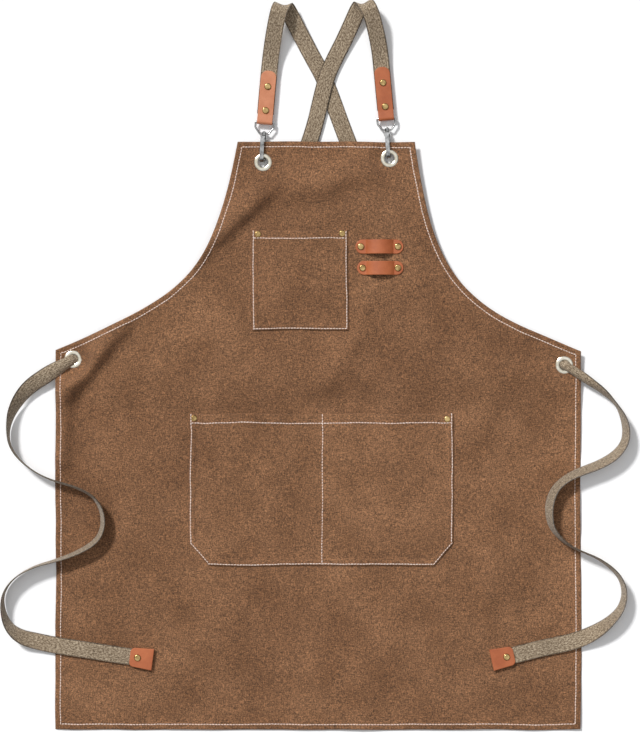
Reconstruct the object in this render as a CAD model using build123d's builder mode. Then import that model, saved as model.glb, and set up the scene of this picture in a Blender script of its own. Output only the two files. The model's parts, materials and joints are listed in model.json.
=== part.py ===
from build123d import *
import math
import os

# A cross-back work apron, laid flat with its front up.
# X runs across the apron, Y from the bottom hem towards the shoulders, Z up out of the cloth.
# The origin is under the middle of the apron's box without the straps, on the surface it lies on.
# Every (x, y) below is measured from the middle of the bottom hem.

# ---- cloth ----
CLOTH = 1.2                      # waxed canvas, one layer
HALF_WIDTH = 340.0
APRON_LENGTH = 857.6             # bottom hem to the top of the right leather tab
WAIST_LEFT, WAIST_RIGHT = 491.0, 490.0
BIB_LEFT, BIB_RIGHT = (-104.0, 761.0), (125.0, 760.0)
ARMHOLE_LEFT = ((-139.0, 572.0), (-184.0, 560.0))
ARMHOLE_RIGHT = ((148.0, 569.0), (203.0, 542.0))
HEM_WIDTH = 8.5
HEM_RISE = 0.8                   # what the turned edge adds to the cloth
BIB_LIFT = 7.5                   # the bib lies on its straps and hooks
RAMP_START, RAMP_END = 412.0, 457.5
RAMP_RADIUS = 30.0
PAST_EDGE = 5.0                  # how far a cutting profile runs past the cloth
TALL = 30.0                      # more than the height of anything cut from above or below

# ---- pockets ----
CHEST_POCKET = (-86.0, 517.0, 38.0, 646.0)          # x, y of the low corner, then of the high one
WAIST_POCKET = (-167.0, 212.0, 175.0, 409.0)
WAIST_POCKET_CORNER = (24.0, 28.0)
POCKET_DIVIDER_X = 5.0
POCKET_ROOM = 5.8                # clear height inside a pocket
POCKET_WALL_SIDE = 14.2          # flat border that holds the stitching and the rivet
DIVIDER_HALF = 4.0
POCKET_SHOULDER = 1.2            # the raised part starts this much outside the room

# ---- rivets and eyelets ----
CAP_RADIUS, CAP_RISE, CAP_ROUND = 4.5, 1.7, 1.5
BACK_RADIUS, BACK_SUNK = 4.0, 0.5                   # the flat disc behind, and its thickness
SHANK_RADIUS = 1.5
SHANK_ROOM = 0.1
EYELET_RADIUS, EYELET_HOLE = 11.25, 6.5
EYELET_WALL = 0.7
EYELET_FLANGE = 0.6
FLANGE_RIM, FLANGE_CROWN = 0.18, 0.78               # its rounded top: height at its rims and between them
BIB_EYELETS = {"left": (-71.5, 734.0), "right": (92.0, 739.0)}
WAIST_EYELETS = {"left": (-317.0, 479.5), "right": (318.0, 472.0)}
CHEST_RIVETS = [(-78.0, 641.0), (31.0, 642.0)]
WAIST_RIVETS = [(-161.0, 403.0), (167.0, 402.0)]

# ---- leather ----
LEATHER = 1.8
LOOPS = {"upper": (79.0, 625.0, 62.0, 18.5, 24.0), "lower": (80.0, 597.5, 60.0, 18.0, 22.75)}
LOOP_ARCH_HALF, LOOP_ARCH_RISE = 17.5, 7.0
LOOP_ARCH_STRETCH = 0.6          # how much further out the arch starts on the top face
TAB_WIDTH, TAB_TOP = 20.0, 66.0
TAB_RIVETS = (14.5, 45.5)
TAB_TAPER, TAB_CORNER = 9.0, 8.5
FOLD_ROOM = 0.55                 # between the ring's bar and the leather round it
TAB_LEAN = {"left": 5.0, "right": -5.3}             # degrees, top towards +X
TIP_LENGTH, TIP_WIDTH, TIP_NECK = 30.0, 28.0, 24.0
LEATHER_TIP = 1.3                # thinner leather, folded over the end of a tie

# ---- clasps, measured along the hook from the middle of its eyelet ----
CLASP_Z = BIB_LIFT               # swivel axis above the floor
HOOK_FOOT = {"left": (-72.0, 734.0), "right": (91.5, 739.0)}
CLASP_LEAN = {"left": 3.0, "right": -4.0}
HOOK_ROLL = {"left": -15.0, "right": -8.0}
HOOK_WIDTH = 5.0
HOOK_OUTER, HOOK_INNER = 6.8, 4.4                   # half heights of the hook's loop
HOOK_BEND = 6.6
HOOK_NOSE = 19.6
HEAD_LOW, HEAD_HIGH = 28.8, 33.4
COLLAR_RADIUS, COLLAR_HIGH = 2.8, 35.2
BELL_RADIUS, BELL_RIM = 4.4, 2.4
STEM_RADIUS, STEM_HEAD_RADIUS, STEM_TOP_RADIUS, STEM_HEAD = 1.3, 2.2, 1.76, 1.3
BOSS_RADIUS, BOSS_LENGTH = 3.0, 3.4
RUN_GAP = 0.06                   # radial running clearance
END_GAP = 0.15
RING_WIRE = 1.3
RING_HALF, RING_DROP, RING_SIDE, RING_CORNER = 11.7, 15.5, 7.5, 2.2
PIN_ALONG, PIN_DOWN, PIN_RADIUS = 31.0, 5.6, 0.5
PIN_FIT = 0.02                   # between the pin and the hook's ears
NOSE_GAP, KNUCKLE_GAP, COIL_GAP = 0.3, 0.6, 0.3     # round the gate's free end, its knuckles and the spring
GATE_HALF, GATE_THICK, GATE_KNUCKLE = 1.6, 1.4, 1.15
EAR_GAP = 0.15
SPRING_OUT, SPRING_IN, SPRING_HALF = 1.0, 0.6, 0.55

# ---- webbing ----
WEB_WIDTH, WEB = 21.5, 1.6
FOLDED_WIDTH, FOLDED = 8.6, 4.0                     # the webbing where it is gathered into an eyelet
LAYER_Z = {"left": 1.4, "right": 3.6}               # middle of each strap behind the bib
PEAK = {"left": (-47.0, 938.0), "right": (57.0, 941.0)}
HEM_CROSSING = {"left": (38.0, 760.0), "right": (-9.0, 760.0)}
BEHIND_BIB = {                   # the straps' way behind the bib, clear of the armholes
    "left": [(88, 640), (160, 560), (240, 508)],
    "right": [(-62, 640), (-142, 562), (-236, 513)],
}
STRAP_SIDE = {"left": "right", "right": "left"}     # the straps cross, so each ties on the other side
NECK_WAY = {"left": (-0.85, -0.527), "right": (0.80, -0.60)}
NECK_BACK, NECK_FRONT = 30.0, 38.0
TIE_LOW = 2.3                    # the tie stands on its edge over the cloth
TIE_ROUTES = {
    "left": [(-349, 460), (-376, 442), (-394, 416), (-401, 390), (-399, 368), (-386, 349),
             (-364, 332), (-341, 322), (-315, 315), (-292, 304), (-280, 287), (-277, 265),
             (-285, 245), (-309, 230), (-338, 219.5), (-367, 212), (-393, 197.5),
             (-407, 178), (-408, 157), (-401, 135), (-386, 121)],
    "right": [(348, 450), (370, 436), (384, 422), (394, 405), (398, 388), (396, 371),
              (384, 355.5), (365, 344), (343, 336), (322, 327), (306.5, 314), (299, 297),
              (297.5, 280), (301, 262), (313, 247), (328.5, 236), (343, 230), (362, 222),
              (380, 209), (392, 194), (396, 175.5), (391, 157), (378, 142), (362, 129)],
}
TIE_ENDS = {
    "left": [(-386, 121), (-364, 114.5), (-338, 109), (-296, 103), (-257, 96.5), (-216, 91)],
    "right": [(362, 129), (339, 117), (313, 110.5), (287, 105.5), (259, 98), (226, 90.5)],
}
TIE_END_Z = 4.9
RISE_HEIGHTS = [(8, 7.5), (28, 9.5), (54, 17), (76, 25.5)]         # from the tab: distance, height
FALL_HEIGHTS = [(0, 16.5), (1, 9.5), (16, 6)]                     # from the peak: distance, height
PEAK_HEIGHT, PEAK_SPAN = 25.0, 1.5
FALL_SPAN, LEVEL_FROM = 48.0, 92.0                  # the strap is nearly down, then flat, from the peak
NECK_HEIGHTS = [(-4.5, 2.7), (4.5, 13.2)]           # through the eyelet: distance, height
NECK_LOW, NECK_HIGH = 2.6, 12.8
TIP_PAST_WEB, TIP_CORNER, TIP_RIVET = 2.0, 6.0, 12.0
WEB_ROOM = 0.6                   # the leather tip is this much roomier than the webbing in it

# ---- worked out ----
HEM_Y = -APRON_LENGTH / 2
HEM = Plane(origin=(0, HEM_Y, 0))
EYELET_BORE = EYELET_HOLE + EYELET_WALL + SHANK_ROOM
BOSS_ALONG = COLLAR_HIGH + END_GAP + BOSS_LENGTH / 2
RING_ALONG = BOSS_ALONG + RING_DROP
BIB_TOP_Z = BIB_LIFT + CLOTH

os.makedirs("parts", exist_ok=True)


def keep(part, name):
    """Name a finished piece and write it."""
    part.label = name
    export_step(part, f"parts/{name}.step")


def leaned(point, lean, z=0.0, roll=0.0):
    """A plane at an (x, y) from the hem, its Y leaned towards +X, its front rolled about that Y."""
    turn, tilt = math.radians(lean), math.radians(roll)
    sideways = Vector(math.cos(turn), -math.sin(turn), 0)
    up = Vector(0, 0, 1)
    return Plane(origin=(point[0], HEM_Y + point[1], z),
                 x_dir=sideways * math.cos(tilt) - up * math.sin(tilt),
                 z_dir=sideways * math.sin(tilt) + up * math.cos(tilt))


def along(point, lean, distance):
    """The (x, y) at a distance up a line that leans towards +X."""
    turn = math.radians(lean)
    return (point[0] + distance * math.sin(turn), point[1] + distance * math.cos(turn))


def upright(point, way):
    """A vertical plane at an (x, y) from the hem: its X runs that way, its Y is up."""
    level = Vector(way[0], way[1], 0).normalized()
    return Plane(origin=(point[0], HEM_Y + point[1], 0), x_dir=level, z_dir=level.cross(Vector(0, 0, 1)))


def corner_radii(points):
    """The largest tangent arc that each corner's two runs leave room for."""
    radii = []
    for before, corner, after in zip(points, points[1:], points[2:]):
        run_in = Vector(*corner) - Vector(*before)
        run_out = Vector(*after) - Vector(*corner)
        half_turn = math.radians(run_in.get_angle(run_out)) / 2
        radii.append(0.45 * min(run_in.length, run_out.length) / math.tan(half_turn))
    return radii


def strip(plane, points, across, within, name):
    """Webbing along straight runs and tangent arcs in a plane, with its size across and within it."""
    radii = corner_radii(points)
    with BuildPart() as piece:
        with BuildLine(plane) as route:
            FilletPolyline(*points, radius=radii)
        path = route.wire()
        with BuildSketch(Plane(origin=path @ 0, x_dir=plane.z_dir, z_dir=path % 0)):
            Rectangle(across, within)
        sweep(path=path)
    exact = across * within * path.length
    print(f"{name}: length {path.length:.0f}, radii {min(radii):.0f} to {max(radii):.0f}, "
          f"volume {piece.part.volume / exact:.4f} of section x length")
    return piece.part


# ---- front panel: one piece of canvas with its edges turned ----
def cloth_profile(thickness):
    """The cloth seen from its side: flat under the skirt, then up a ramp to the bib."""
    beside = Plane(origin=(-HALF_WIDTH - PAST_EDGE, HEM_Y, 0), x_dir=(0, 1, 0), z_dir=(1, 0, 0))
    with BuildSketch(beside) as side:
        with BuildLine():
            far = APRON_LENGTH - PAST_EDGE
            under = FilletPolyline((-PAST_EDGE, 0), (RAMP_START, 0), (RAMP_END, BIB_LIFT), (far, BIB_LIFT),
                                   radius=RAMP_RADIUS)
            over = FilletPolyline((-PAST_EDGE, thickness), (RAMP_START, thickness),
                                  (RAMP_END, BIB_LIFT + thickness), (far, BIB_LIFT + thickness),
                                  radius=RAMP_RADIUS)
            Line(under @ 0, over @ 0)
            Line(under @ 1, over @ 1)
        make_face()
    return side.sketch


def armhole(top, bends, waist_y, inset):
    """The four points of an armhole's curve, from the bib down, drawn in by an inset."""
    side = 1 if top[0] > 0 else -1
    points = [Vector(*top), Vector(*bends[0]), Vector(*bends[1]), Vector(side * HALF_WIDTH, waist_y)]
    first, last = points[1] - points[0], points[3] - points[2]
    inward_first = first.normalized().rotate(Axis.Z, -90 * side) * inset
    inward_last = last.normalized().rotate(Axis.Z, -90 * side) * inset
    start, end = points[0] + inward_first, points[3] + inward_last
    start = start + first * ((top[1] - inset - start.Y) / first.Y)
    end = end + last * ((side * (HALF_WIDTH - inset) - end.X) / last.X)
    return [start, points[1] + inward_first, points[2] + inward_last, end]


def outline(inset):
    """The apron's cut shape, drawn in by an inset."""
    left = armhole(BIB_LEFT, ARMHOLE_LEFT, WAIST_LEFT, inset)
    right = armhole(BIB_RIGHT, ARMHOLE_RIGHT, WAIST_RIGHT, inset)
    half = HALF_WIDTH - inset
    with BuildSketch(HEM) as shape:
        with BuildLine():
            Bezier(*left)
            Polyline(left[-1], (-half, inset), (half, inset), right[-1])
            Bezier(*reversed(right))
            Line(right[0], left[0])
        make_face()
    return shape.sketch


def cloth_slab(thickness):
    """Cloth of one thickness that follows the ramp, cut to the outline."""
    with BuildPart() as slab:
        add(cloth_profile(thickness))
        extrude(amount=2 * (HALF_WIDTH + PAST_EDGE), dir=(1, 0, 0))
        add(outline(0))
        extrude(amount=TALL, dir=(0, 0, 1), mode=Mode.INTERSECT)
    return slab.part


def sunk_hole(point, base, bore):
    """A hole through the cloth with a shallow seat under it for a rivet's back."""
    with Locations((point[0], HEM_Y + point[1], base)):
        Cylinder(bore, TALL, mode=Mode.SUBTRACT)
        if bore < EYELET_HOLE:
            Cylinder(BACK_RADIUS + SHANK_ROOM, 2 * BACK_SUNK, mode=Mode.SUBTRACT)


with BuildPart() as turned_edge:
    add(cloth_profile(CLOTH + HEM_RISE))
    extrude(amount=2 * (HALF_WIDTH + PAST_EDGE), dir=(1, 0, 0))
    add(outline(0) - outline(HEM_WIDTH))
    extrude(amount=TALL, dir=(0, 0, 1), mode=Mode.INTERSECT)
with BuildPart() as front_panel:
    add(cloth_slab(CLOTH))
    add(turned_edge.part)
    for side in ("left", "right"):
        sunk_hole(BIB_EYELETS[side], BIB_LIFT, EYELET_BORE)
        sunk_hole(WAIST_EYELETS[side], BIB_LIFT, EYELET_BORE)
    for point in CHEST_RIVETS:
        sunk_hole(point, BIB_LIFT, SHANK_RADIUS + SHANK_ROOM)
    for point in WAIST_RIVETS:
        sunk_hole(point, 0, SHANK_RADIUS + SHANK_ROOM)
    for loop_x, loop_y, length, width, reach in LOOPS.values():
        for end in (-1, 1):
            sunk_hole((loop_x + end * reach, loop_y), BIB_LIFT, SHANK_RADIUS + SHANK_ROOM)
keep(front_panel.part, "front_panel")


# ---- pockets: each stands a little open over the panel, sewn down along three sides ----
def pocket_outline(box, corner, inset):
    """The pocket's cut shape below its mouth, its two lower corners cut off where it has them."""
    low_x, low_y, high_x, high_y = box
    cut_x, cut_y = corner
    with BuildSketch(HEM) as shape:
        with BuildLine():
            if cut_x:
                slant = math.atan2(cut_y, cut_x)
                slip_x = inset * (1 - math.cos(slant)) / math.sin(slant)
                slip_y = inset * (1 - math.sin(slant)) / math.cos(slant)
                Polyline((low_x + inset, high_y), (low_x + inset, low_y + cut_y + slip_y),
                         (low_x + cut_x + slip_x, low_y + inset), (high_x - cut_x - slip_x, low_y + inset),
                         (high_x - inset, low_y + cut_y + slip_y), (high_x - inset, high_y), close=True)
            else:
                Polyline((low_x + inset, high_y), (low_x + inset, low_y + inset),
                         (high_x - inset, low_y + inset), (high_x - inset, high_y), close=True)
        make_face()
    return shape.sketch


def raised(sketch, base, height):
    """A sketch at the floor, made into a slab at a height."""
    with BuildPart() as slab:
        add(sketch.moved(Location((0, 0, base))))
        extrude(amount=height, dir=(0, 0, 1))
    return slab.part


def pocket(name, box, corner, base, rivets, divider):
    """A canvas patch, flat along its stitching and raised over the room inside."""
    wall = POCKET_WALL_SIDE
    room = raised(pocket_outline(box, corner, wall), base, POCKET_ROOM)
    with BuildPart() as patch:
        add(raised(pocket_outline(box, corner, 0), base, CLOTH))
        add(raised(pocket_outline(box, corner, wall - POCKET_SHOULDER), base, POCKET_ROOM + CLOTH))
        add(room, mode=Mode.SUBTRACT)
        if divider is not None:
            middle_y = HEM_Y + (box[1] + box[3]) / 2
            height = box[3] - box[1]
            with Locations((divider, middle_y, base + CLOTH + (POCKET_ROOM + CLOTH) / 2)):
                Box(2 * (DIVIDER_HALF - CLOTH), height + 2, POCKET_ROOM + CLOTH, mode=Mode.SUBTRACT)
            with Locations((divider, middle_y, base + CLOTH / 2)):
                Box(2 * DIVIDER_HALF, height, CLOTH)
            for end in (-1, 1):
                with Locations((divider + end * (DIVIDER_HALF - CLOTH / 2), middle_y,
                                base + (POCKET_ROOM + CLOTH) / 2)):
                    Box(CLOTH, height - 2 * wall, POCKET_ROOM + CLOTH)
        for point in rivets:
            with Locations((point[0], HEM_Y + point[1], base)):
                Cylinder(SHANK_RADIUS + SHANK_ROOM, TALL, mode=Mode.SUBTRACT)
    keep(patch.part, name)


pocket("chest_pocket", CHEST_POCKET, (0, 0), BIB_TOP_Z, CHEST_RIVETS, None)
pocket("waist_pocket", WAIST_POCKET, WAIST_POCKET_CORNER, CLOTH, WAIST_RIVETS, POCKET_DIVIDER_X)


# ---- rivets: a domed cap, a shank and a flat back ----
def rivet(plane, back_z, front_z, sunk):
    """One rivet along a plane's Z that clamps from back_z to front_z."""
    back_low = back_z if sunk else back_z - BACK_SUNK
    with BuildPart() as piece:
        with BuildSketch(plane.offset(back_low)):
            Circle(BACK_RADIUS)
        extrude(amount=BACK_SUNK)
        with BuildSketch(plane.offset(back_low)):
            Circle(SHANK_RADIUS)
        extrude(amount=front_z - back_low)
        with BuildSketch(plane.offset(front_z)):
            Circle(CAP_RADIUS)
        extrude(amount=CAP_RISE)
        rim = piece.edges().filter_by(GeomType.CIRCLE).sort_by(Axis(plane.origin, plane.z_dir))[-1]
        fillet(rim, radius=CAP_ROUND)
    return piece.part


def rivets(name, planes, back_z, front_z, sunk=True):
    """A group of identical rivets in one node, each its own solid."""
    group = Compound(children=[rivet(plane, back_z, front_z, sunk) for plane in planes])
    keep(group, name)


def flat_at(points):
    """Level planes at points measured from the hem, at the height of the floor."""
    return [Plane(origin=(x, HEM_Y + y, 0)) for x, y in points]


rivets("chest_pocket_rivets", flat_at(CHEST_RIVETS), BIB_LIFT, BIB_TOP_Z + CLOTH)
rivets("waist_pocket_rivets", flat_at(WAIST_RIVETS), 0, 2 * CLOTH)

# ---- leather tool loops, riveted at both ends and arched between ----
for name, (loop_x, loop_y, length, width, reach) in LOOPS.items():
    with BuildPart() as tool_loop:
        with BuildSketch(Plane(origin=(loop_x, HEM_Y + loop_y, BIB_TOP_Z), x_dir=(1, 0, 0), z_dir=(0, -1, 0))):
            with BuildLine():
                half = length / 2
                outer_half = LOOP_ARCH_HALF + LOOP_ARCH_STRETCH
                Line((-half, 0), (-LOOP_ARCH_HALF, 0))
                ThreePointArc((-LOOP_ARCH_HALF, 0), (0, LOOP_ARCH_RISE), (LOOP_ARCH_HALF, 0))
                Polyline((LOOP_ARCH_HALF, 0), (half, 0), (half, LEATHER), (outer_half, LEATHER))
                ThreePointArc((outer_half, LEATHER), (0, LOOP_ARCH_RISE + LEATHER), (-outer_half, LEATHER))
                Polyline((-outer_half, LEATHER), (-half, LEATHER), (-half, 0))
            make_face()
        extrude(amount=width, both=True)
        with BuildSketch(Plane(origin=(loop_x, HEM_Y + loop_y, 0))):
            SlotOverall(length, width)
        extrude(amount=TALL, mode=Mode.INTERSECT)
        with Locations(*[(loop_x + end * reach, HEM_Y + loop_y, BIB_TOP_Z) for end in (-1, 1)]):
            Cylinder(SHANK_RADIUS + SHANK_ROOM, TALL, mode=Mode.SUBTRACT)
    keep(tool_loop.part, f"{name}_tool_loop")
    rivets(f"{name}_tool_loop_rivets", flat_at([(loop_x - reach, loop_y), (loop_x + reach, loop_y)]),
           BIB_LIFT, BIB_TOP_Z + LEATHER)

# ---- eyelets: a flanged barrel from the front and a washer behind the cloth ----
for side in ("left", "right"):
    for place, centre in (("bib", BIB_EYELETS[side]), ("waist", WAIST_EYELETS[side])):
        spot = (centre[0], HEM_Y + centre[1])
        barrel = EYELET_HOLE + EYELET_WALL
        low = BIB_LIFT - EYELET_FLANGE
        with BuildPart() as eyelet:
            with BuildSketch(Plane(origin=(*spot, 0), x_dir=(1, 0, 0), z_dir=(0, -1, 0))):
                with BuildLine():
                    Polyline((EYELET_HOLE, low), (barrel, low), (barrel, BIB_TOP_Z),
                             (EYELET_RADIUS, BIB_TOP_Z), (EYELET_RADIUS, BIB_TOP_Z + FLANGE_RIM))
                    ThreePointArc((EYELET_RADIUS, BIB_TOP_Z + FLANGE_RIM),
                                  ((EYELET_RADIUS + EYELET_HOLE) / 2, BIB_TOP_Z + FLANGE_CROWN),
                                  (EYELET_HOLE, BIB_TOP_Z + FLANGE_RIM))
                    Line((EYELET_HOLE, BIB_TOP_Z + FLANGE_RIM), (EYELET_HOLE, low))
                make_face()
            revolve(axis=Axis((*spot, 0), (0, 0, 1)))
        keep(eyelet.part, f"{side}_{place}_eyelet")
        with BuildPart() as washer:
            with BuildSketch(Plane(origin=(*spot, low))):
                Circle(EYELET_RADIUS)
                Circle(barrel + SHANK_ROOM, mode=Mode.SUBTRACT)
            extrude(amount=EYELET_FLANGE)
        keep(washer.part, f"{side}_{place}_washer")


# ---- clasps ----
def side_view(plane):
    """The plane in which a hook shows its loop: X along the hook, Y out of the cloth."""
    return Plane(origin=plane.origin, x_dir=plane.y_dir, z_dir=plane.x_dir)


def local(plane, x, y, z):
    """A point in a clasp's own frame, as a point of the model."""
    return plane.from_local_coords(Vector(x, y, z))


def make_ring(side):
    """The clasp's eye: a closed wire loop with a boss that the hook's stem turns in."""
    half, drop = RING_HALF, RING_DROP
    level = leaned(HOOK_FOOT[side], CLASP_LEAN[side], CLASP_Z)
    base = Plane(origin=local(level, 0, BOSS_ALONG, 0), x_dir=level.x_dir, z_dir=level.z_dir)
    with BuildPart() as ring:
        with BuildLine(base) as loop:
            FilletPolyline((half, drop), (half, drop - RING_SIDE), (half / 2, 0), (-half / 2, 0),
                           (-half, drop - RING_SIDE), (-half, drop), radius=RING_CORNER, close=True)
        path = loop.wire()
        with BuildSketch(Plane(origin=path @ 0, z_dir=path % 0)):
            Circle(RING_WIRE)
        sweep(path=path)
        with BuildSketch(Plane(origin=local(level, 0, BOSS_ALONG - BOSS_LENGTH / 2, 0), z_dir=level.y_dir)):
            Circle(BOSS_RADIUS)
        extrude(amount=BOSS_LENGTH)
        with BuildSketch(Plane(origin=local(level, 0, BOSS_ALONG - BOSS_LENGTH, 0), z_dir=level.y_dir)):
            Circle(STEM_RADIUS + RUN_GAP)
        extrude(amount=2 * BOSS_LENGTH, mode=Mode.SUBTRACT)
    keep(ring.part, f"{side}_ring")


def make_hook(side, plane):
    """The hook: a flat loop open at its back, a bell-shaped head and a stem with a riveted end."""
    view = side_view(plane)
    ear_room = 2 * (GATE_HALF + EAR_GAP)
    with BuildPart() as hook:
        with BuildSketch(Plane(origin=view.origin - plane.x_dir * HOOK_WIDTH / 2,
                               x_dir=view.x_dir, z_dir=view.z_dir)):
            with Locations((HOOK_BEND, 0)):
                Circle(HOOK_OUTER)
            with Locations(((HOOK_BEND + HEAD_HIGH) / 2, 0)):
                Rectangle(HEAD_HIGH - HOOK_BEND, 2 * HOOK_OUTER)
            with Locations((HOOK_BEND, 0)):
                Circle(HOOK_INNER, mode=Mode.SUBTRACT)
            with Locations(((HOOK_BEND + HEAD_LOW) / 2, 0)):
                Rectangle(HEAD_LOW - HOOK_BEND, 2 * HOOK_INNER, mode=Mode.SUBTRACT)
            with Locations(((HOOK_NOSE + HEAD_LOW) / 2, -(HOOK_OUTER + HOOK_INNER) / 2)):
                Rectangle(HEAD_LOW - HOOK_NOSE, HOOK_OUTER - HOOK_INNER + 1, mode=Mode.SUBTRACT)
        extrude(amount=HOOK_WIDTH)
        with BuildSketch(Plane(origin=plane.origin, x_dir=plane.x_dir, z_dir=plane.z_dir)):
            with BuildLine():
                Polyline((0, HEAD_LOW), (BELL_RADIUS, HEAD_LOW), (BELL_RADIUS, HEAD_LOW + BELL_RIM),
                         (COLLAR_RADIUS, COLLAR_HIGH), (STEM_RADIUS, COLLAR_HIGH),
                         (STEM_RADIUS, COLLAR_HIGH + BOSS_LENGTH + 2 * END_GAP),
                         (STEM_HEAD_RADIUS, COLLAR_HIGH + BOSS_LENGTH + 2 * END_GAP),
                         (STEM_TOP_RADIUS, COLLAR_HIGH + BOSS_LENGTH + 2 * END_GAP + STEM_HEAD),
                         (0, COLLAR_HIGH + BOSS_LENGTH + 2 * END_GAP + STEM_HEAD), close=True)
            make_face()
        revolve(axis=Axis(plane.origin, plane.y_dir))
        with BuildSketch(Plane(origin=local(plane, 0, (HEAD_LOW + HEAD_HIGH) / 2, -HOOK_OUTER - 1),
                               x_dir=plane.x_dir, z_dir=plane.z_dir)):
            Rectangle(ear_room, HEAD_HIGH - HEAD_LOW + 4)
        extrude(amount=HOOK_OUTER - PIN_DOWN + 1 + GATE_KNUCKLE + KNUCKLE_GAP, mode=Mode.SUBTRACT)
        with BuildSketch(Plane(origin=local(plane, -HOOK_WIDTH, PIN_ALONG, -PIN_DOWN), z_dir=plane.x_dir)):
            Circle(PIN_RADIUS + PIN_FIT)
        extrude(amount=2 * HOOK_WIDTH, mode=Mode.SUBTRACT)
    keep(hook.part, f"{side}_hook")


def make_gate(side, plane):
    """The gate: a flat lever on two knuckles, with room for the spring's coil between them."""
    lever_length = PIN_ALONG - HOOK_NOSE - NOSE_GAP
    with BuildPart() as gate:
        with BuildSketch(Plane(origin=local(plane, -GATE_HALF, PIN_ALONG, -PIN_DOWN), z_dir=plane.x_dir)):
            Circle(GATE_KNUCKLE)
        extrude(amount=2 * GATE_HALF)
        with BuildSketch(Plane(origin=local(plane, 0, PIN_ALONG - lever_length / 2, -PIN_DOWN - GATE_THICK / 2),
                               x_dir=plane.x_dir, z_dir=plane.z_dir)):
            Rectangle(2 * GATE_HALF, lever_length)
        extrude(amount=GATE_THICK)
        with BuildSketch(Plane(origin=local(plane, -SPRING_HALF - EAR_GAP, PIN_ALONG, -PIN_DOWN),
                               z_dir=plane.x_dir)):
            Circle(GATE_KNUCKLE + COIL_GAP)
        extrude(amount=2 * (SPRING_HALF + EAR_GAP), mode=Mode.SUBTRACT)
        with BuildSketch(Plane(origin=local(plane, -HOOK_WIDTH, PIN_ALONG, -PIN_DOWN), z_dir=plane.x_dir)):
            Circle(PIN_RADIUS + RUN_GAP)
        extrude(amount=2 * HOOK_WIDTH, mode=Mode.SUBTRACT)
    keep(gate.part, f"{side}_gate")


def make_pin_and_spring(side, plane):
    """The gate's pin, peened flush in the hook's ears, and the coil spring round it."""
    with BuildPart() as pin:
        with BuildSketch(Plane(origin=local(plane, -HOOK_WIDTH / 2, PIN_ALONG, -PIN_DOWN), z_dir=plane.x_dir)):
            Circle(PIN_RADIUS)
        extrude(amount=HOOK_WIDTH)
    keep(pin.part, f"{side}_gate_pin")
    with BuildPart() as spring:
        with BuildSketch(Plane(origin=local(plane, -SPRING_HALF, PIN_ALONG, -PIN_DOWN), z_dir=plane.x_dir)):
            Circle(SPRING_OUT)
            Circle(SPRING_IN, mode=Mode.SUBTRACT)
        extrude(amount=2 * SPRING_HALF)
    keep(spring.part, f"{side}_gate_spring")


def make_tab(side, fold):
    """Leather folded round the ring's bar and riveted through the end of the strap."""
    web_half = WEB / 2
    across = Plane(origin=fold.origin - fold.x_dir * TAB_WIDTH / 2, x_dir=fold.y_dir, z_dir=fold.x_dir)
    wrap = RING_WIRE + FOLD_ROOM
    with BuildPart() as tab:
        with BuildSketch(across):
            Circle(wrap + LEATHER)
            with BuildLine():
                Polyline((0, wrap + LEATHER), (TAB_TAPER, web_half + LEATHER), (TAB_TOP, web_half + LEATHER),
                         (TAB_TOP, -web_half - LEATHER), (TAB_TAPER, -web_half - LEATHER), (0, -wrap - LEATHER),
                         close=True)
            make_face()
        extrude(amount=TAB_WIDTH)
        with BuildSketch(Plane(origin=across.origin - fold.x_dir, x_dir=across.x_dir, z_dir=across.z_dir)):
            Circle(wrap)
            with BuildLine():
                Polyline((0, wrap), (TAB_TAPER, web_half), (TAB_TOP + 1, web_half), (TAB_TOP + 1, -web_half),
                         (TAB_TAPER, -web_half), (0, -wrap), close=True)
            make_face()
        extrude(amount=TAB_WIDTH + 2, mode=Mode.SUBTRACT)
        with BuildSketch(fold.offset(-TALL / 2)) as plan:
            with Locations((0, (TAB_TOP - 5) / 2)):
                Rectangle(TAB_WIDTH, TAB_TOP + 5)
            fillet(plan.vertices().group_by(Axis.Y)[-1], radius=TAB_CORNER)
        extrude(amount=TALL, mode=Mode.INTERSECT)
        for distance in TAB_RIVETS:
            with BuildSketch(Plane(origin=local(fold, 0, distance, -TALL / 2), z_dir=fold.z_dir)):
                Circle(SHANK_RADIUS + SHANK_ROOM)
            extrude(amount=TALL, mode=Mode.SUBTRACT)
    keep(tab.part, f"{side}_tab")
    planes = [Plane(origin=local(fold, 0, distance, -CLASP_Z), z_dir=fold.z_dir) for distance in TAB_RIVETS]
    rivets(f"{side}_tab_rivets", planes, CLASP_Z - web_half - LEATHER, CLASP_Z + web_half + LEATHER, sunk=False)


folds = {}
for side in ("left", "right"):
    hook_plane = leaned(HOOK_FOOT[side], CLASP_LEAN[side], CLASP_Z, HOOK_ROLL[side])
    fold_point = along(HOOK_FOOT[side], CLASP_LEAN[side], RING_ALONG)
    folds[side] = leaned(fold_point, TAB_LEAN[side], CLASP_Z)
    make_ring(side)
    make_hook(side, hook_plane)
    make_gate(side, hook_plane)
    make_pin_and_spring(side, hook_plane)
    make_tab(side, folds[side])


# ---- webbing: each strap runs from its tab over the shoulder, behind the bib, out to a tie ----
def corded(name, pieces, holes=()):
    """One stretch of webbing, joined from its swept pieces."""
    with BuildPart() as stretch:
        for piece in pieces:
            add(piece)
        for plane in holes:
            with BuildSketch(plane.offset(-TALL / 2)):
                Circle(SHANK_RADIUS + SHANK_ROOM)
            extrude(amount=TALL, mode=Mode.SUBTRACT)
    keep(stretch.part, name)


def tab_top(side):
    """The (x, y) from the hem of the top edge of a leather tab."""
    top = local(folds[side], 0, TAB_TOP, 0)
    return (top.X, top.Y - HEM_Y)


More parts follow.
